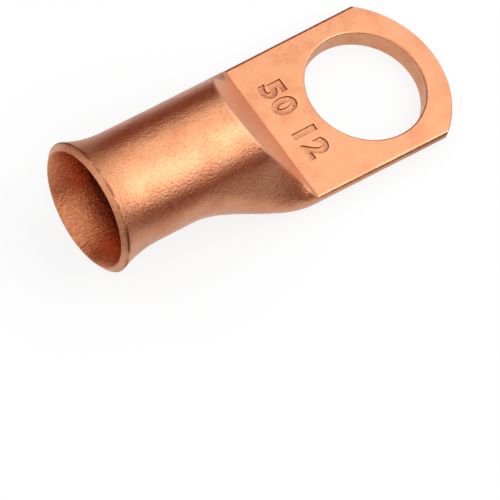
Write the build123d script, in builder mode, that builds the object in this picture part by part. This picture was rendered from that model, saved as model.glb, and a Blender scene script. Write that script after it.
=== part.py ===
from build123d import *
from math import acos, atan2, ceil, cos, hypot, pi, radians, sin, sqrt, tan
import os

# Battery ring terminal: one piece of copper tube, pressed flat at one end and pierced for a stud.
# The origin is the centre of the stud hole on the underside of the flat tongue. +X runs out
# through the tongue's free end, the open barrel points along -X, and +Z is up.

# Tube
wall = 1.2
barrel_radius = 6.1
bore_stock = 0.05  # reamed out of the barrel's wall to bring its bore to size

# Bell mouth that guides the cable in
rim_distance = 36.6  # stud hole to the rim's outer edge
flare_length = 4.8  # from there back to where the barrel begins to open
rim_radius = 7.1
rim_wall = 0.9
rim_tilt = 37.0  # end face, away from square to the barrel, in degrees
rim_edge = 0.12

# Flat tongue, where both walls of the tube are pressed together
bend_distance = 12.6  # stud hole to the bend line
tongue_width = 17.54  # across the bend
tongue_taper = 0.77  # each side spreads towards the end, in degrees
tongue_reach = 9.05  # stud hole to the middle of the end
end_arc_radius = 11.05
end_corner_radius = 0.9
end_overlap = 0.1  # the end is sheared to an outline this far outside each side
side_roll_radius = 1.8  # round lower half of each folded side
underside_press = 0.05  # how far the underside is pressed in, so that it lies flat
press_edge_radius = 0.4  # the bend, and the crisp edges beside what is pressed flat
stud_hole_radius = 6.6
hole_entry_radius = 0.25  # drawn in by the punch
end_edge = 0.12  # broken off the upper edge of the sheared end

# Where the round barrel changes into the flat tongue
swell_start = 27.3  # stud hole to where the barrel begins to spread
shoulder_distance = 20.35  # stud hole to the top of the ramp
crown_hold = 3.0  # 1 narrows the crown evenly down the ramp, more holds its width for longer
crown_ease = 0.3  # how gently it stops narrowing at the bend, against 0 for at once

# Each smooth surface is drawn through sections this far apart, within this tolerance
section_gap = 0.7
section_steps = 32  # along half of each section
skin_tolerance = 0.02

flare_start = rim_distance - flare_length
tongue_thickness = 2 * wall
axis_height = rim_radius  # the rim and the tongue rest on one plane
barrel_axis = Axis((0, 0, axis_height), (1, 0, 0))
crown_height = axis_height + barrel_radius
bore_radius = barrel_radius - wall
drawn_wall = wall + bore_stock
ramp_angle = atan2(crown_height - tongue_thickness, shoulder_distance - bend_distance)


def on_end_face(t):
    """A point in line with the mouth's end face, t outside its outer edge."""
    tilt = radians(rim_tilt)
    return (-rim_distance + t * sin(tilt), axis_height + rim_radius + t * cos(tilt))


def ramp_x(z, inset):
    """Where the ramp, set in by inset, stands at height z."""
    return -bend_distance - (inset + (z - tongue_thickness) * cos(ramp_angle)) / sin(ramp_angle)


rim_face, rim_bore_top = on_end_face(-rim_wall)
past_rim = rim_face - rim_wall
past_end = tongue_reach + wall
above = crown_height + wall
beside = tongue_width


def half_width(x):
    return tongue_width / 2 + max(0, x + bend_distance) * tan(radians(tongue_taper))


def share(x, start, end):
    """How far x has come from start to end, both measured back from the stud hole."""
    return max(0, (x + start) / (start - end))


def capped(value):
    """The value itself, eased so that it levels off at 1."""
    near = max(0, 1 - abs(value - 1) / crown_ease)
    return min(value, 1) - crown_ease * near**2 / 4


def blend(first, last, t):
    return [a + (b - a) * t for a, b in zip(first, last)]


def outline(x, inset):
    """Points up one half of the tube's section at x, evenly spaced along it.

    The section is wrapped tightly about a roll at each side and a crown between them, and all
    three start as the round barrel itself."""
    spread = min(1, share(x, swell_start, bend_distance))
    spread = spread**2 * (3 - 2 * spread)
    lowered = capped(share(x, shoulder_distance, bend_distance) ** crown_hold)
    barrel = (0, axis_height, barrel_radius)
    side_y = half_width(x) - side_roll_radius
    side = (side_y, side_roll_radius - underside_press, side_roll_radius)
    roll_y, roll_z, roll_r = blend(barrel, side, spread)
    _, crown_z, crown_r = blend(barrel, (0, 0, 2 * side_roll_radius), lowered)
    roll_r -= inset
    crown_r -= inset
    apart = hypot(roll_y, roll_z - crown_z)
    lean = 0
    if apart > 0:
        lean = min(pi / 2, atan2(roll_z - crown_z, roll_y) + acos((crown_r - roll_r) / apart))
    flank = sqrt(apart**2 - (crown_r - roll_r) ** 2)
    runs = [roll_y, roll_r * (pi / 2 + lean), flank, crown_r * (pi / 2 - lean)]
    points = []
    for i in range(section_steps + 1):
        s = sum(runs) * i / section_steps
        if s < runs[0]:
            points.append((s, roll_z - roll_r))
        elif s < sum(runs[:2]):
            turn = (s - runs[0]) / roll_r - pi / 2
            points.append((roll_y + roll_r * cos(turn), roll_z + roll_r * sin(turn)))
        elif s < sum(runs[:3]):
            up = s - sum(runs[:2])
            y = roll_y + roll_r * cos(lean) - up * sin(lean)
            z = roll_z + roll_r * sin(lean) + up * cos(lean)
            points.append((y, z))
        else:
            turn = lean + (s - sum(runs[:3])) / crown_r
            points.append((crown_r * cos(turn), crown_z + crown_r * sin(turn)))
    return points


def spaced(start, end):
    count = ceil((end - start) / section_gap)
    return [start + (end - start) * i / count for i in range(count)]


def one_side(inset, flare, end):
    """Half of what lies within the tube's surface set in by inset, split down the middle.

    It opens by flare at the rim, and it reaches from past the rim to x = end."""
    rows = []
    for x in spaced(past_rim - wall, -bend_distance) + spaced(-bend_distance, end + 2 * wall):
        opened = flare * share(x, flare_start, rim_distance) ** 2
        half = [(x, y, z) for y, z in outline(x, inset - opened)]
        below = [(x, -y, z) for x, y, z in half[2:0:-1]]
        over = [(x, -y, z) for x, y, z in half[-2:-4:-1]]
        rows.append([Vector(point) for point in below + half + over])
    skin = Face.make_surface_from_array_of_points(rows, tol=skin_tolerance)
    with BuildPart() as block:
        with Locations((past_rim, 0, axis_height)):
            Box(end - past_rim, beside, 2 * above, align=(Align.MIN, Align.MIN, Align.CENTER))
        split(bisect_by=skin, keep=Keep.BOTH)
    return block.solids().sort_by(Axis.Y)[0]


# The tube's outside, round to flat, with the ramp and the tongue's two faces pressed in
outer_side = one_side(0, rim_radius - barrel_radius, past_end)
with BuildPart() as body:
    add(outer_side)
    mirror(about=Plane.XZ)
    with BuildSketch(Plane.XZ):
        with BuildLine():
            Polyline(
                (ramp_x(above, 0), above),
                (-bend_distance, tongue_thickness),
                (past_end, tongue_thickness),
                (past_end, above),
                close=True,
            )
        make_face()
    extrude(amount=beside, both=True, mode=Mode.SUBTRACT)
    ramp, top = body.faces().filter_by(GeomType.PLANE).sort_by(Axis.X)[1:3]
    across = top.edges().sort_by(Axis.Y)
    fillet(ramp.edges() + [across[0], across[-1]], press_edge_radius)
    with BuildSketch(Plane.XZ):
        with Locations((past_end, 0)):
            Rectangle(past_end + swell_start, above, align=Align.MAX)
    extrude(amount=beside, both=True, mode=Mode.SUBTRACT)

# The hollow in it, which closes to a line where the two walls meet
past_bend = wall - bend_distance
inner_side = one_side(drawn_wall, 0, past_bend)
with BuildPart() as hollow:
    add(inner_side)
    mirror(about=Plane.XZ)
    with BuildSketch(Plane.XZ):
        with BuildLine():
            Polyline(
                (ramp_x(above, drawn_wall), above),
                (ramp_x(0, drawn_wall), 0),
                (past_bend, 0),
                (past_bend, above),
                close=True,
            )
        make_face()
    extrude(amount=beside, both=True, mode=Mode.SUBTRACT)

# The tongue's end as it is sheared off: an arc, meeting the tapered sides at two rounded corners
taper = radians(tongue_taper)
arc_centre = tongue_reach - end_arc_radius
to_side = half_width(arc_centre) * cos(taper) + end_overlap
along_side = sqrt(end_arc_radius**2 - to_side**2)
corner_x = arc_centre - to_side * sin(taper) + along_side * cos(taper)
corner_y = to_side * cos(taper) + along_side * sin(taper)

with BuildPart() as ring_terminal:
    add(body.part)
    add(hollow.part, mode=Mode.SUBTRACT)
    # The barrel's bore, reamed as far as the tube stays round, and its bell mouth
    with BuildSketch(Plane.XZ):
        with BuildLine():
            reamed = Polyline(
                (-flare_start, axis_height + bore_radius),
                (-swell_start, axis_height + bore_radius),
                (-swell_start, axis_height),
                (past_rim, axis_height),
                (past_rim, rim_bore_top),
                (rim_face, rim_bore_top),
            )
            TangentArc(reamed @ 0, reamed @ 1, tangent=(-1, 0))
        make_face()
    revolve(axis=barrel_axis, mode=Mode.SUBTRACT)
    # The mouth's end face, which slopes back into the bore
    with BuildSketch(Plane.XZ):
        with BuildLine():
            inward = on_end_face(-3 * wall)
            outward = on_end_face(3 * wall)
            Polyline(inward, outward, (inward[0], outward[1]), close=True)
        make_face()
    revolve(axis=barrel_axis, mode=Mode.SUBTRACT)
    rim = ring_terminal.faces(Select.LAST).filter_by(GeomType.CONE)
    fillet(rim.edges().filter_by(GeomType.LINE, reverse=True), rim_edge)
    # All that lies outside the sheared outline
    with BuildSketch(Plane.XY.offset(-wall)) as waste:
        with Locations(((past_end - bend_distance) / 2, 0)):
            Rectangle(past_end + bend_distance, 2 * beside)
        with BuildLine():
            Polyline(
                (corner_x, -corner_y),
                (-bend_distance, -corner_y),
                (-bend_distance, corner_y),
                (corner_x, corner_y),
            )
            RadiusArc((corner_x, corner_y), (corner_x, -corner_y), end_arc_radius)
        make_face(mode=Mode.SUBTRACT)
        corners = waste.vertices().filter_by_position(Axis.X, 0, tongue_reach)
        fillet(corners, end_corner_radius)
    extrude(amount=above, mode=Mode.SUBTRACT)
    # The hole's own seam is turned off the centre line, where the tongue's halves already meet
    with Locations(Location((0, 0, tongue_thickness), (0, 0, 90))):
        Hole(stud_hole_radius)
    punched = ring_terminal.faces(Select.LAST).filter_by(GeomType.CYLINDER)
    fillet(punched.edges().sort_by(Axis.Z)[-1], hole_entry_radius)
    # The end's upper edge, turned about the centre of its arc
    with BuildSketch(Plane.YZ.offset(arc_centre)):
        with BuildLine():
            outside = end_arc_radius + wall
            Polyline(
                (end_arc_radius - end_edge - wall, tongue_thickness + wall),
                (outside, tongue_thickness + wall),
                (outside, tongue_thickness - end_edge - wall),
                close=True,
            )
        make_face()
    revolve(axis=Axis((arc_centre, 0, 0), (0, 0, -1)), revolution_arc=180, mode=Mode.SUBTRACT)
ring_terminal.part.label = "ring_terminal"

os.makedirs("parts", exist_ok=True)
export_step(ring_terminal.part, "parts/ring_terminal.step")
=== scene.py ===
from math import cos, radians, sin

import bpy
from mathutils import Matrix, Vector


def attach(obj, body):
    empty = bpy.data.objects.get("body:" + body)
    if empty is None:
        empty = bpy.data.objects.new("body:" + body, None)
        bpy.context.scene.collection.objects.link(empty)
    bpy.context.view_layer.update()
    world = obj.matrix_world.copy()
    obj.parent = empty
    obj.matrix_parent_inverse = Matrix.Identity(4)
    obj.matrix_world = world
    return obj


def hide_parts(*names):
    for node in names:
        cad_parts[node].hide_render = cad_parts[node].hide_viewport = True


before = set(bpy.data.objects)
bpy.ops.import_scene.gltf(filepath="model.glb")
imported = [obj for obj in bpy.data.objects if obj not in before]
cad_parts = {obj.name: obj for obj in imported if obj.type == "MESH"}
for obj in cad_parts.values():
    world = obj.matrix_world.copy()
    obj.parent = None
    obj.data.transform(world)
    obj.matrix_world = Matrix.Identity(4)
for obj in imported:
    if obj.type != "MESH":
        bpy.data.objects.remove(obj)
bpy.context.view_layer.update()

mm = 0.001
joinWithin = 1e-6  # metres, for points that are one
print("frame loaded")


# Shader maths: a socket that can stand in a Python expression
class Wire:
    def __init__(self, socket):
        self.socket = socket
        self.tree = socket.id_data

    def node(self, kind, settings, sockets, output=0):
        made = self.tree.nodes.new(kind)
        for name, value in settings.items():
            setattr(made, name, value)
        for name, value in sockets.items():
            if isinstance(value, Wire):
                self.tree.links.new(value.socket, made.inputs[name])
            else:
                made.inputs[name].default_value = value
        return Wire(made.outputs[output])

    # Another output of the same node
    def beside(self, name):
        return Wire(self.socket.node.outputs[name])

    def maths(self, operation, other):
        return self.node("ShaderNodeMath", {"operation": operation}, {0: self, 1: other})

    def __add__(self, other):
        return self.maths("ADD", other)

    def __sub__(self, other):
        return self.maths("SUBTRACT", other)

    def __mul__(self, other):
        return self.maths("MULTIPLY", other)

    def __pow__(self, other):
        return self.maths("POWER", other)

    def __rsub__(self, other):
        return self * -1 + other

    __radd__ = __add__
    __rmul__ = __mul__

    # 0 at one value and 1 at the other, eased at both
    def between(self, low, high):
        return self.node(
            "ShaderNodeMapRange",
            {"interpolation_type": "SMOOTHSTEP"},
            {"Value": self, "From Min": low, "From Max": high},
        )

    def stretched(self, x, y, z):
        return self.node("ShaderNodeVectorMath", {"operation": "MULTIPLY"}, {0: self, 1: (x, y, z)})

    def split(self):
        x = self.node("ShaderNodeSeparateXYZ", {}, {"Vector": self}, "X")
        return x, x.beside("Y"), x.beside("Z")

    def noise(self, size, detail, roughness):
        return self.node(
            "ShaderNodeTexNoise",
            {},
            {"Vector": self, "Scale": 1 / size, "Detail": detail, "Roughness": roughness},
        )

    # The first colour where this is 0, and the second where it is 1
    def blend(self, first, second):
        return self.node(
            "ShaderNodeMix", {"data_type": "RGBA"}, {"Factor": self, 6: first, 7: second}, 2
        )


# How long a line is, from how far it goes each way
def length(*ways):
    return sum(way * way for way in ways) ** 0.5


def newMaterial(name):
    material = bpy.data.materials.new(name)
    material.use_nodes = True
    shader = material.node_tree.nodes["Principled BSDF"]
    place = material.node_tree.nodes.new("ShaderNodeTexCoord")
    return material, shader, Wire(place.outputs["Object"])


def deselect():
    if bpy.context.object and bpy.context.object.mode != "OBJECT":
        bpy.ops.object.mode_set(mode="OBJECT")
    bpy.ops.object.select_all(action="DESELECT")


def takeUp(thing):
    deselect()
    thing.select_set(True)
    bpy.context.view_layer.objects.active = thing


# Copper, as it leaves the tumbler: satin, finely grained, brushed along inside the barrel. Its
# colour also holds painted shade in the hollows beside the ramp, deep in the barrel, along the
# rim's edge and in the stamped strokes, and a painted sheen on the ramp.
# Lengths are in mm. A fade is a pair: where its finish begins to show, and where it is at its most.
copper = {
    "colour": (0.80, 0.36, 0.19, 1),
    "worn": (0.60, 0.20, 0.09, 1),  # duller patches and pits
    "hollowShadeColour": (0.36, 0.075, 0.02, 1),  # painted shade in the hollows beside the ramp
    "pressed": (0.87, 0.46, 0.28, 1),  # painted sheen: paler on the pressed ramp
    "inside": (0.74, 0.29, 0.14, 1),  # browner inside the barrel; the next is painted shade, darker further in
    "deep": (0.40, 0.11, 0.045, 1),
    "rimAndStrokeShade": (0.25, 0.07, 0.03, 1),  # painted shade along the rim's edge and in the stamped strokes
    # Noises, each by its size, detail and roughness
    "grain": (0.27, 3, 0.65),
    "ripple": (1.6, 2, 0.5),
    "patches": (2.6, 3, 0.5),
    "streak": (0.3, 3, 0.6),
    "streakStretch": (0.1, 1, 1),  # ten times as long as wide
    "pitFade": (0.5, 0.36),
    "patchFade": (0.42, 0.68),
    "streakFade": (0.36, 0.62),
    # breaks up the painted shade along the rim's edge
    "rimShadeBreakup": (0.35, 0.6),
    "grainDepth": 0.06,
    "rippleDepth": 0.03,
    "streakDepth": 0.05,
    "roughness": 0.28,
    "grainRoughness": 0.06,  # this and the next two are added
    "patchRoughness": 0.05,
    "pressedRoughness": 0.12,
    # How much of its colour each gives
    "patchShare": 0.25,
    "pitShare": 0.45,
    # the painted sheen on the ramp
    "pressedShare": 0.8,
    # the painted shade along the rim's edge
    "rimShadeShare": 0.8,
    "hollowShadeShare": (0.4, 0.4),  # painted shade in the hollows: all over, and more in the pits
    "strokeShadeShare": (0.2, 0.6),  # painted shade on the strokes' floor, and more up their walls
    # The barrel, with the line halfway through its wall
    "axisHeight": 7.1,
    "midWall": 5.5,
    "flareStart": -31.8,
    "midFlare": 0.035,  # how the halfway line opens, per square mm
    "insideFade": (0.1, -0.1),  # past the halfway line
    # where the painted shade deep in the barrel comes in
    "deepFade": (-35, -29),
    "rimEdge": (-36.6, 7.1),  # the painted shade's line: along the barrel, and out from its axis
    "rimFade": (0.28, 0.08),
    # The ramp, with a painted sheen, and the hollows beside it, with painted shade
    "bend": (-12.6, 2.4),  # where the ramp meets the tongue
    "rampAngle": radians(54.3),
    "rampFade": (0.1, 0.005),  # in square mm
    "rampWallFade": (-0.4, -0.8),
    "hollow": (-15.7, 6.4, 5.4),
    "hollowFade": (4.2, 1.0),
    # The tongue's upper face, which is smoother
    "tongueFade": (-12.8, -12.4),
    "tongueTopFade": (2.3, 2.38),
    "fewerPits": 0.3,
    "lessDepth": 0.5,
    # The stamp's place on it
    "stampFades": ((-12.2, -12.0), (-7.0, -7.2)),
    "stampSideFade": (60, 56),  # in square mm
    "stampHeightFades": ((2.39, 2.36), (2.0, 2.1)),
    "strokeFade": (2.2, 2.24),
}


def copperFinish():
    c = copper
    material, shader, place = newMaterial("tumbledCopper")
    point = place.stretched(1 / mm, 1 / mm, 1 / mm)  # in mm from here on
    x, y, height = point.split()
    z = height - c["axisHeight"]
    fromAxis = length(y, z)
    pastFlare = (c["flareStart"] - x).maths("MAXIMUM", 0.0)
    midLine = c["midWall"] + c["midFlare"] * pastFlare * pastFlare
    bendX, bendZ = c["bend"]
    fromRamp = (x - bendX) * sin(c["rampAngle"]) + (height - bendZ) * cos(c["rampAngle"])
    inside = (fromAxis - midLine).between(*c["insideFade"]) * fromRamp.between(*c["rampWallFade"])
    onTongue = x.between(*c["tongueFade"]) * height.between(*c["tongueTopFade"])

    grain = point.noise(*c["grain"])
    ripple = point.noise(*c["ripple"])
    streak = point.stretched(*c["streakStretch"]).noise(*c["streak"])
    patches = point.noise(*c["patches"]).between(*c["patchFade"])
    pits = grain.between(*c["pitFade"])

    # Outside: patches and pits, a painted sheen on the pressed ramp, and painted shade in the
    # hollows beside it
    wear = patches * c["patchShare"] + pits * (c["pitShare"] - onTongue * c["fewerPits"])
    outer = wear.blend(c["colour"], c["worn"])
    # Painted sheen: the pressed ramp paler
    pressed = (fromRamp * fromRamp).between(*c["rampFade"]) * (1 - onTongue)
    outer = (pressed * c["pressedShare"]).blend(outer, c["pressed"])
    # Painted shade in the hollows beside the ramp, more in the pits
    hollowX, hollowY, hollowZ = c["hollow"]
    toHollow = length(x - hollowX, length(y) - hollowY, height - hollowZ)
    allOver, inPits = c["hollowShadeShare"]
    hollowShade = toHollow.between(*c["hollowFade"]) * (1 - pressed) * (allOver + pits * inPits)
    outer = hollowShade.blend(outer, c["hollowShadeColour"])

    # Inside the barrel, with painted shade darker further in
    insideShaded = x.between(*c["deepFade"]).blend(c["inside"], c["deep"])
    insideShaded = streak.between(*c["streakFade"]).blend(c["worn"], insideShaded)

    # Painted shade: dark lines along the rim's edge and in the stamp's strokes
    rimX, rimOut = c["rimEdge"]
    fromEdge = length(x - rimX, fromAxis - rimOut)
    rimShade = fromEdge.between(*c["rimFade"]) * ripple.between(*c["rimShadeBreakup"])
    inStamp = (y * y).between(*c["stampSideFade"])
    for fade in c["stampFades"]:
        inStamp = inStamp * x.between(*fade)
    for fade in c["stampHeightFades"]:
        inStamp = inStamp * height.between(*fade)
    onFloor, upWall = c["strokeShadeShare"]
    strokeShade = inStamp * (onFloor + height.between(*c["strokeFade"]) * upWall)
    dark = (rimShade * c["rimShadeShare"]).maths("MAXIMUM", strokeShade)
    colour = dark.blend(inside.blend(outer, insideShaded), c["rimAndStrokeShade"])

    relief = grain * c["grainDepth"] * (1 - onTongue * c["lessDepth"]) + ripple * c["rippleDepth"]
    relief = (relief + streak * inside * c["streakDepth"]) * mm
    bump = point.node("ShaderNodeBump", {}, {"Height": relief, "Distance": 1.0, "Strength": 1.0})
    roughness = c["roughness"] + grain * c["grainRoughness"] + patches * c["patchRoughness"]
    roughness = roughness + pressed * c["pressedRoughness"]
    links = material.node_tree.links
    links.new(colour.socket, shader.inputs["Base Color"])
    links.new(roughness.socket, shader.inputs["Roughness"])
    links.new(bump.socket, shader.inputs["Normal"])
    shader.inputs["Metallic"].default_value = 1.0
    return material


# The lug, with plain figures stamped into its tongue, in mm
stamp = {
    "figures": "50 12",
    "size": 3.7,
    "spacing": 1.2,
    "middle": (-9.45, 0.3),
    "turn": radians(-90),  # they read across the tongue
    "depth": 0.2,
    "weight": 0.08,  # added to each side of a stroke
    "slope": 0.13,  # how far each stroke's wall leans in
    "slopeSteps": 1,
    "cutterHeight": 0.4,  # of its straight part, each way from its middle
    "tongueTop": 2.4,
    "sharpOver": radians(32),  # edges that turn by more stay sharp
    "flatFirst": 100,  # weight of the largest faces in the smooth shading
}


def stampCutter():
    s = stamp
    deselect()
    bpy.ops.object.text_add(location=(0, 0, 0))
    text = bpy.context.object.data
    text.body = s["figures"]
    text.size = s["size"]
    text.space_character = s["spacing"]
    text.align_x = "CENTER"
    text.align_y = "CENTER"
    text.extrude = s["cutterHeight"]
    text.bevel_depth = s["slope"]
    text.bevel_resolution = s["slopeSteps"]
    text.offset = s["weight"]
    bpy.ops.object.convert(target="MESH")
    cutter = bpy.context.object
    reach = max(v.co.z for v in cutter.data.vertices)
    sink = s["tongueTop"] - s["depth"] + reach
    turn = Matrix.Rotation(s["turn"], 4, "Z")
    cutter.data.transform(Matrix.Translation((*s["middle"], sink)) @ turn)
    cutter.data.transform(Matrix.Scale(mm, 4))
    bpy.ops.object.mode_set(mode="EDIT")
    bpy.ops.mesh.select_all(action="SELECT")
    bpy.ops.mesh.remove_doubles(threshold=joinWithin)
    bpy.ops.mesh.normals_make_consistent(inside=False)
    bpy.ops.object.mode_set(mode="OBJECT")
    return cutter


def makeLug():
    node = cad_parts["ring_terminal"]
    lug = node.copy()
    lug.data = node.data.copy()
    lug.name = "stampedLug"
    bpy.context.scene.collection.objects.link(lug)
    cutter = stampCutter()
    takeUp(lug)
    bpy.ops.object.mode_set(mode="EDIT")
    bpy.ops.mesh.select_all(action="SELECT")
    bpy.ops.mesh.customdata_custom_splitnormals_clear()
    bpy.ops.mesh.remove_doubles(threshold=joinWithin)
    bpy.ops.object.mode_set(mode="OBJECT")
    cut = lug.modifiers.new("stamp", "BOOLEAN")
    cut.operation = "DIFFERENCE"
    cut.solver = "EXACT"
    cut.object = cutter
    bpy.ops.object.modifier_apply(modifier="stamp")
    bpy.data.objects.remove(cutter)
    bpy.ops.object.shade_smooth_by_angle(angle=stamp["sharpOver"])
    even = lug.modifiers.new("even", "WEIGHTED_NORMAL")
    even.keep_sharp = True
    even.weight = stamp["flatFirst"]
    bpy.ops.object.modifier_apply(modifier="even")
    lug.data.materials.clear()
    lug.data.materials.append(copperFinish())
    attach(lug, "root")
    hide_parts("ring_terminal")
    return lug


lug = makeLug()
print("lug stamped and finished,", len(lug.data.polygons), "faces")


# Studio: a white floor, a large soft lamp on the near side and a weak fill on the far side, and a
# low dark screen along each side that only reflections show, for the dark bands along the copper
studio = {
    "middle": (-14 * mm, 0, 0),
    "floorSize": 4.0,
    "floorColour": (0.86, 0.86, 0.86, 1),
    "floorSeen": 0.82,  # share of the floor's plain white in the camera's view, the rest is lit
    "floorMirrored": (0.8, 0.25),  # its level in the copper, by the barrel and out on the near side
    "floorFades": (16 * mm, 34 * mm),
    "nearSide": (-8 * mm, -13 * mm),
    "brightest": (-10 * mm, 0, 0),  # from the middle, towards the barrel
    "screens": (
        # degrees round from +X, how far out, how high and how long
        (90, 32 * mm, 35 * mm, 110 * mm),
        (-90, 32 * mm, 22 * mm, 110 * mm),
    ),
    "screenColour": (0.19, 0.05, 0.03, 1),
    "lamps": (
        # degrees round from +X, degrees up, metres away, metres across, watts
        ("softLamp", -38, 51, 0.5, 0.42, 0.69),
        ("fillLamp", 36, 54, 0.6, 0.36, 0.15),
    ),
    "room": (1, 1, 1, 1),
    "roomStrength": 1.0,
}


def floorFinish():
    s = studio
    material, shader, place = newMaterial("floorWhite")
    shader.inputs["Base Color"].default_value = s["floorColour"]
    shader.inputs["Roughness"].default_value = 1.0
    shader.inputs["Specular IOR Level"].default_value = 0.0
    seen = place.node("ShaderNodeLightPath", {}, {}, "Is Camera Ray")
    glossy = seen.beside("Is Glossy Ray")
    through = seen.beside("Is Transmission Ray")
    near, far = s["floorMirrored"]
    ends = {0: place, 1: s["brightest"]}
    away = place.node("ShaderNodeVectorMath", {"operation": "DISTANCE"}, ends, "Value")
    _, side, _ = place.split()
    fade = away.between(*s["floorFades"]) * side.between(*s["nearSide"])
    strength = seen + (glossy + through) * (near + fade * (far - near))
    glow = place.node("ShaderNodeEmission", {}, {"Strength": strength})
    plain = seen * s["floorSeen"] + glossy + through
    mixed = place.node("ShaderNodeMixShader", {}, {0: plain, 1: Wire(shader.outputs[0]), 2: glow})
    output = material.node_tree.nodes["Material Output"]
    material.node_tree.links.new(mixed.socket, output.inputs["Surface"])
    return material


def screenFinish():
    material, shader, _ = newMaterial("screenDark")
    shader.inputs["Base Color"].default_value = (0, 0, 0, 1)
    shader.inputs["Specular IOR Level"].default_value = 0.0
    shader.inputs["Emission Color"].default_value = studio["screenColour"]
    shader.inputs["Emission Strength"].default_value = 1.0
    return material


def makeStudio():
    s = studio
    middle = Vector(s["middle"])
    deselect()
    bpy.ops.mesh.primitive_plane_add(size=s["floorSize"], location=middle)
    floor = bpy.context.object
    floor.name = "floor"
    floor.data.materials.append(floorFinish())
    dark = screenFinish()
    upright = radians(90)
    for turn, away, height, long in s["screens"]:
        turn = radians(turn)
        deselect()
        bpy.ops.mesh.primitive_plane_add(
            size=1,
            location=middle + Vector((away * cos(turn), away * sin(turn), height / 2)),
            rotation=(upright, 0, turn + upright),
        )
        screen = bpy.context.object
        screen.name = "darkScreen"
        screen.scale = (long, height, 1)
        screen.data.materials.append(dark)
        screen.visible_camera = False
        screen.visible_diffuse = False
        screen.visible_shadow = False
    for name, turn, rise, away, size, power in s["lamps"]:
        turn, rise = radians(turn), radians(rise)
        way = Vector((cos(rise) * cos(turn), cos(rise) * sin(turn), sin(rise)))
        bpy.ops.object.light_add(type="AREA", location=middle + way * away)
        lamp = bpy.context.object
        lamp.name = name
        lamp.data.shape = "DISK"
        lamp.data.size = size
        lamp.data.energy = power
        lamp.rotation_mode = "QUATERNION"
        lamp.rotation_quaternion = way.to_track_quat("Z", "Y")

    world = bpy.data.worlds.new("softRoom")
    world.use_nodes = True
    room = world.node_tree.nodes["Background"].inputs
    room["Color"].default_value = s["room"]
    room["Strength"].default_value = s["roomStrength"]
    bpy.context.scene.world = world


makeStudio()
print("studio set")


# Camera, as the photograph was taken
lens = {
    "place": (-153.808 * mm, -100.683 * mm, 263.331 * mm),
    "right": (0.7986, -0.5657, 0.2056),
    "up": (0.4219, 0.7697, 0.4791),
    "length": 217.3,
    "sensor": 36.0,
    "clips": (0.01, 10),  # metres
}


def makeCamera():
    deselect()
    bpy.ops.object.camera_add(location=lens["place"])
    camera = bpy.context.object
    camera.name = "photoCamera"
    right = Vector(lens["right"]).normalized()
    back = right.cross(Vector(lens["up"])).normalized()
    up = back.cross(right)
    camera.rotation_mode = "QUATERNION"
    camera.rotation_quaternion = Matrix((right, up, back)).transposed().to_quaternion()
    camera.data.lens = lens["length"]
    camera.data.sensor_width = lens["sensor"]
    camera.data.clip_start, camera.data.clip_end = lens["clips"]
    bpy.context.scene.camera = camera


makeCamera()
bpy.context.scene.view_settings.view_transform = "Standard"
print("camera set")
